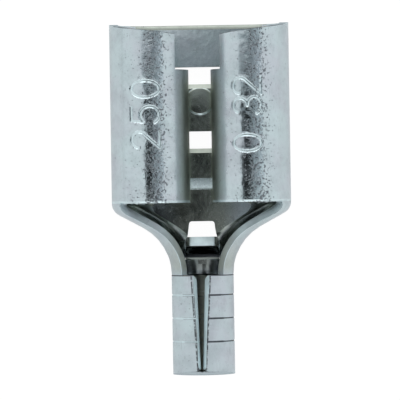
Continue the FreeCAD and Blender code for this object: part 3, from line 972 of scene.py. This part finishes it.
def plating_group():
    """Blotchy tin with dark specks and scratches, and painted shade low between the rolls and in the
    shoulder's corner: a colour, a roughness and a height.
    """
    nodes, given, out = group(
        "plating",
        {"Clean": GREY, "Handled": GREY, "Dark": GREY, "Low Shade": GREY, "Specks": 0.5, "Roughness": 0.25,
         "Corner Shade": 0.0},
        ("Color", "Roughness", "Height"))
    spread, times, scaled, noise, mix = nodes.spread, nodes.times, nodes.scaled, nodes.noise, nodes.mix
    place = in_millimetres(nodes)
    x, y, z = nodes.apart(place)
    aside = nodes.math("ABSOLUTE", x)

    # Where the tin differs: on the crests, in the dark band along each where the dark card above is reflected,
    # and painted shade low between the rolls and in the corner.
    crest = spread(z, 2.7, 3.2)
    beside = nodes.math("SUBTRACT", x, times(nodes.math("SIGN", x), CREST_X))
    zone = times(spread(beside, -0.35, 0.10), spread(beside, 1.05, 0.50), crest)
    middle = spread(aside, 1.7, 0.9)
    low = times(middle, spread(z, 3.0, 2.0), spread(y, 5.5, 4.9), spread(y, -3.2, -2.8))
    to_barrel = spread(y, BARREL_FRONT, -3.05)
    # Painted shade inside the shoulder, up to the barrel, and at the stop's root.
    corner = times(spread(z, 0.384, 0.415), spread(z, 1.7, 1.3), spread(y, -0.1, -0.3), to_barrel,
                   spread(aside, 2.9, 2.6))
    root = times(spread(y, -2.42, -2.50), to_barrel)
    corner = nodes.math("MAXIMUM", corner, times(root, 0.65))
    stain = times(spread(y, 0.55, -0.05), spread(z, 2.6, 3.2))

    # Marks: clouds of film, specks that gather in those places, and hair lines; the denser, darker specks in
    # the dark band and on the crests are partly a painted reflection.
    cloudy = spread(noise(place, 1.5, 5.0, 0.65), 0.42, 0.66)
    limit = scaled(given["Specks"], -0.08, 0.70)
    for mask, share in ((crest, -0.025), (zone, -0.095), (cloudy, -0.035), (stain, -0.07)):
        limit = scaled(mask, share, limit)
    grit = noise(place, 9.5, 3.0, 0.66)
    dots = spread(times(nodes.math("SUBTRACT", grit, limit), 18.0), 0.0, 1.0)
    hairs = noise(nodes.stretch(place, (14.0, 1.1, 14.0), (12, 0, -24)), 1.3, 2.0, 0.5)
    hairs = spread(hairs, 0.66, 0.72)

    patch = spread(noise(place, 0.55, 4.0, 0.6, 0.4), 0.38, 0.64)
    tone = mix(patch, given["Clean"], given["Handled"])
    # Painted shade: the tone turns to the low shade colour low between the rolls.
    tone = mix(low, tone, given["Low Shade"])
    specks = times(dots, scaled(crest, 0.45, 0.45))
    # Painted shade in the shoulder's corner, as strong as the corner setting says.
    corner_shade = times(corner, given["Corner Shade"])
    for share in (corner_shade, specks, times(cloudy, 0.16), times(hairs, 0.20)):
        tone = mix(share, tone, given["Dark"])
    nodes.join(tone, out["Color"])

    rough = scaled(cloudy, 0.08, given["Roughness"])
    rough = scaled(dots, 0.15, rough)
    inner = times(middle, spread(z, 3.28, 2.8), spread(z, 0.6, 1.0))
    nodes.join(scaled(inner, 0.22, rough), out["Roughness"])

    height = times(noise(place, 6.0, 2.5, 0.55), scaled(zone, 0.75, 0.10))
    wave = times(noise(place, 1.4, 2.0, 0.5), scaled(crest, 1.0, 0.3))
    height = nodes.math("ADD", height, wave)
    nodes.join(scaled(times(dots, crest), -0.12, height), out["Height"])
    return nodes.tree


def seam_group():
    """Broken dark line of painted shade in the crease where the bevels of the barrel's seam begin."""
    nodes, given, out = group(
        "seam_line", {"Middle": -0.085, "Front Reach": 0.41, "Rear Reach": 0.16}, ("Line",))
    place = in_millimetres(nodes)
    x, y, z = nodes.apart(place)
    narrowing = nodes.math("SUBTRACT", given["Rear Reach"], given["Front Reach"])
    reach = nodes.scaled(nodes.spread(y, BARREL_FRONT, BARREL_REAR), narrowing, given["Front Reach"])
    away = nodes.math("ABSOLUTE", nodes.math("SUBTRACT", x, given["Middle"]))
    away = nodes.math("ABSOLUTE", nodes.math("SUBTRACT", away, reach))
    line = nodes.times(nodes.spread(away, 0.045, 0.012), nodes.spread(z, 2.3, 2.4),
                       nodes.spread(y, BARREL_FRONT, -3.22))
    broken = nodes.spread(nodes.noise(place, 7.0, 3.0, 0.7), 0.40, 0.50)
    nodes.join(nodes.times(line, broken), out["Line"])
    return nodes.tree


def edge_group():
    """Patches of bare brass along rubbed and sheared edges."""
    nodes, given, out = group("bare_edge", {"Tin": GREY, "Brass": GREY, "Amount": 0.3}, ("Color",))
    worn = nodes.noise(in_millimetres(nodes), 2.6, 4.0, 0.65)
    limit = nodes.math("SUBTRACT", 0.72, nodes.times(given["Amount"], 0.4))
    share = nodes.spread(nodes.times(nodes.math("SUBTRACT", worn, limit), 6.0), 0.0, 1.0)
    nodes.join(nodes.mix(nodes.times(share, 0.8), given["Tin"], given["Brass"]), out["Color"])
    return nodes.tree


def metal(name, groups, brass, clean, handled, dark, low_shade, specks, roughness, bare, relief_depth):
    """One finish of the tinned sheet, from the node groups and its own values."""
    material = bpy.data.materials[name]
    material.use_nodes = True
    nodes = Nodes(material.node_tree)
    plating = nodes.add("ShaderNodeGroup", node_tree=groups[0])
    colours = {"Clean": clean, "Handled": handled, "Dark": dark, "Low Shade": low_shade}
    fill(plating, {socket: (*value, 1.0) for socket, value in colours.items()})
    # Painted shade in the shoulder's corner, in the corner finish only.
    corner_shade = 0.8 if name == "corner" else 0.0
    fill(plating, {"Specks": specks, "Roughness": roughness, "Corner Shade": corner_shade})
    edge = nodes.add("ShaderNodeGroup", node_tree=groups[1])
    nodes.join(plating.outputs["Color"], edge.inputs["Tin"])
    fill(edge, {"Brass": (*brass, 1.0), "Amount": bare})
    colour = edge.outputs["Color"]
    # Painted shade: a broken dark line along the crease of the barrel's seam.
    if name == "tin":
        seam = nodes.add("ShaderNodeGroup", node_tree=groups[2])
        colour = nodes.mix(seam.outputs["Line"], colour, [*(0.4 * c for c in dark), 1.0])
    relief = nodes.add("ShaderNodeBump")
    fill(relief, {"Strength": 1.0, "Distance": relief_depth * MM})
    nodes.join(plating.outputs["Height"], relief.inputs["Height"])
    shader = nodes.add("ShaderNodeBsdfPrincipled")
    fill(shader, {"Metallic": 1.0})
    if name == "sheared":
        fill(shader, {"Specular Tint": (0.58, 0.62, 0.64, 1.0)})
    nodes.join(colour, shader.inputs["Base Color"])
    nodes.join(plating.outputs["Roughness"], shader.inputs["Roughness"])
    nodes.join(relief.outputs["Normal"], shader.inputs["Normal"])
    nodes.show(shader.outputs["BSDF"])


class OBJECT_OT_terminal_finish(Operator):
    """Give the sheet its tinned, rubbed and sheared finishes, and the finishes that paint shade inside it"""

    bl_idname = "object.terminal_finish"
    bl_label = "Tinned Finish"

    def execute(self, context):
        look = context.scene.terminal_finish
        groups = (plating_group(), edge_group(), seam_group())
        tin, warm, dark, shade_tone = look.tin, look.tin_warm, look.tarnish_and_shade, look.cavity_shade
        # A brighter tone for rubbed edges, part wear and part painted highlight, and a darker one that paints
        # shade.
        bright = [min(1.0, 1.2 * c) for c in tin]
        darkened_tone = [0.8 * c for c in dark]
        # Clean, handled, dark and low-shade colour; specks, roughness, bare brass, relief in millimetres.
        finishes = {
            "tin": (tin, warm, dark, shade_tone, look.specks, look.roughness, 0.0, 0.024),
            "rubbed_and_highlit": (bright, bright, dark, bright, 0.1, 0.22, 0.08, 0.004),
            "sheared": (tin, warm, dark, shade_tone, 0.4, 0.42, 0.12, 0.020),
            "cavity_shade": (shade_tone, shade_tone, dark, shade_tone, 0.4, 0.34, 0.0, 0.004),
            "darkened": (darkened_tone, dark, darkened_tone, darkened_tone, 0.3, 0.45, 0.30, 0.002),
            "corner": (tin, warm, dark, shade_tone, look.specks, look.roughness, 0.0, 0.014),
        }
        for name, values in finishes.items():
            metal(name, groups, look.brass, *values)
        return {"FINISHED"}


# ------------ stage

CARD_HEIGHT = 23.3 * MM


def add_lamp(name, place, width, depth, power, colour=(1.0, 1.0, 1.0)):
    """Soft lamp that is turned to the middle of the part."""
    bpy.ops.object.light_add(type="AREA", location=place)
    lamp = bpy.context.object
    lamp.name = name
    lamp.data.shape = "RECTANGLE"
    lamp.data.size = width
    lamp.data.size_y = depth
    lamp.data.energy = power
    lamp.data.color = colour
    aim = Vector((0.0, 0.0, 0.0)) - Vector(place)
    lamp.rotation_euler = aim.to_track_quat("-Z", "Y").to_euler()


def floor_material(colour):
    """Pale floor that looks evenly lit from the camera and lights the part a little."""
    material = bpy.data.materials.new("floor")
    material.use_nodes = True
    nodes = Nodes(material.node_tree)
    shader = nodes.add("ShaderNodeBsdfPrincipled")
    place = nodes.add("ShaderNodeTexCoord")
    cloud = nodes.noise(place.outputs["Object"], 30.0, 3.0)
    dim = [0.97 * c for c in colour]
    nodes.join(nodes.mix(cloud, (*dim, 1.0), (*colour, 1.0)), shader.inputs["Base Color"])
    fill(shader, {"Roughness": 0.9})
    light = nodes.add("ShaderNodeEmission")
    fill(light, {"Color": (1.0, 1.0, 1.0, 1.0), "Strength": 1.07})
    seen = nodes.add("ShaderNodeLightPath").outputs
    mirror = nodes.math("MAXIMUM", seen["Is Glossy Ray"], seen["Is Transmission Ray"])
    glow = nodes.scaled(mirror, 0.10, nodes.times(seen["Is Camera Ray"], 0.9))
    switch = nodes.add("ShaderNodeMixShader")
    for socket, source in enumerate((glow, shader.outputs["BSDF"], light.outputs["Emission"])):
        nodes.join(source, switch.inputs[socket])
    nodes.show(switch.outputs[0])
    return material


def card_material(name, low, high, shades, axis):
    """Grey that runs evenly from one shade to the other, across the card (axis 0) or along it (axis 1)."""
    material = bpy.data.materials.new(name)
    material.use_nodes = True
    nodes = Nodes(material.node_tree)
    place = nodes.add("ShaderNodeTexCoord")
    share = nodes.spread(nodes.apart(place.outputs["Object"])[axis], low[axis] * MM, high[axis] * MM)
    shader = nodes.add("ShaderNodeBsdfPrincipled")
    ends = [(0.92 * shade, shade, 1.05 * shade, 1.0) for shade in shades]
    nodes.join(nodes.mix(share, *ends), shader.inputs["Base Color"])
    fill(shader, {"Roughness": 1.0, "Specular IOR Level": 0.0})
    nodes.show(shader.outputs["BSDF"])
    return material


def add_card(name, low, high, shades, axis):
    """Upper card that only reflections see, between two corners in millimetres."""
    bpy.ops.mesh.primitive_plane_add(size=1.0)
    card = bpy.context.object
    card.name = name
    for corner in card.data.vertices:
        corner.co = (MM * (high[0] if corner.co.x > 0 else low[0]),
                     MM * (high[1] if corner.co.y > 0 else low[1]), CARD_HEIGHT)
    card.data.materials.append(card_material(name, low, high, shades, axis))
    card.visible_camera = card.visible_diffuse = card.visible_shadow = False


class OBJECT_OT_terminal_stage(Operator):
    """Add the floor, the soft lamps, the cards above and the camera"""

    bl_idname = "object.terminal_stage"
    bl_label = "Stage"

    def execute(self, context):
        stage = context.scene.terminal_stage
        bpy.ops.mesh.primitive_plane_add(size=4.0, location=(0.0, 0.0, 0.0))
        floor = context.object
        floor.name = "floor"
        floor.data.materials.append(floor_material(stage.floor))

        world = bpy.data.worlds.new("room")
        context.scene.world = world
        world.use_nodes = True
        nodes = Nodes(world.node_tree)
        sky = nodes.add("ShaderNodeBackground")
        fill(sky, {"Color": (0.95, 0.98, 1.0, 1.0), "Strength": stage.room})
        nodes.show(sky.outputs[0], "ShaderNodeOutputWorld")

        add_card("dark_card", (-7.4, -4.0), (0.8, 5.2), (0.01, 0.012), 0)
        add_card("front_card", (-7.4, 5.2), (0.8, 8.3), (0.36, 0.46), 1)
        add_card("dark_edge", (-8.8, -3.6), (-7.4, 5.2), (0.70, 0.012), 0)
        add_card("front_edge", (-11.8, 5.2), (-7.4, 8.3), (0.84, 0.40), 0)
        add_card("grey_card", (0.8, -2.4), (16.0, 14.0), (0.24, 0.84), 0)
        add_lamp("left_box", (-0.16, 0.0, 0.14), 0.16, 0.26, 0.010, (0.97, 1.0, 1.0))
        add_lamp("right_box", (0.17, 0.02, 0.10), 0.12, 0.24, 0.008, (0.95, 0.97, 1.0))
        add_lamp("front_box", (0.0, 0.20, 0.09), 0.24, 0.12, 0.065)
        add_lamp("rear_box", (0.0, -0.20, 0.08), 0.22, 0.10, 0.030)

        bpy.ops.object.camera_add(location=(-0.0617 * MM, 0.0223 * MM, stage.camera_height))
        camera = context.object
        camera.name = "camera"
        camera.rotation_euler = (0.0, 0.0, math.radians(-0.93))
        camera.data.lens = 300.0
        camera.data.sensor_width = 36.0
        camera.data.clip_start = 0.01
        camera.data.clip_end = 10.0
        context.scene.camera = camera
        context.scene.view_settings.view_transform = "Standard"
        return {"FINISHED"}


# ------------ add-on


class VIEW3D_PT_terminal(Panel):
    """Lists the steps that build the terminal's looks."""

    bl_label = "Spade Terminal"
    bl_space_type = "VIEW_3D"
    bl_region_type = "UI"
    bl_category = "Terminal"

    def draw(self, context):
        column = self.layout.column()
        for step in STEPS:
            column.operator(step.bl_idname)
        for group_name in GROUPS:
            block = getattr(context.scene, group_name)
            box = self.layout.box()
            for name in block.__annotations__:
                box.prop(block, name)


STEPS = (
    OBJECT_OT_terminal_sheet,
    OBJECT_OT_terminal_numbers,
    OBJECT_OT_terminal_finish,
    OBJECT_OT_terminal_stage,
)
GROUPS = {
    "terminal_sizes": TerminalSizes,
    "terminal_numbers": TerminalNumbers,
    "terminal_finish": TerminalFinish,
    "terminal_stage": TerminalStage,
}


def register():
    for kind in (*GROUPS.values(), *STEPS, VIEW3D_PT_terminal):
        bpy.utils.register_class(kind)
    for name, kind in GROUPS.items():
        setattr(bpy.types.Scene, name, PointerProperty(type=kind))


def unregister():
    for name in GROUPS:
        delattr(bpy.types.Scene, name)
    for kind in (VIEW3D_PT_terminal, *reversed(STEPS), *reversed(list(GROUPS.values()))):
        bpy.utils.unregister_class(kind)


def main():
    register()
    bpy.ops.object.terminal_sheet()
    bpy.ops.object.terminal_numbers()
    bpy.ops.object.terminal_finish()
    bpy.ops.object.terminal_stage()


if __name__ == "__main__":
    main()
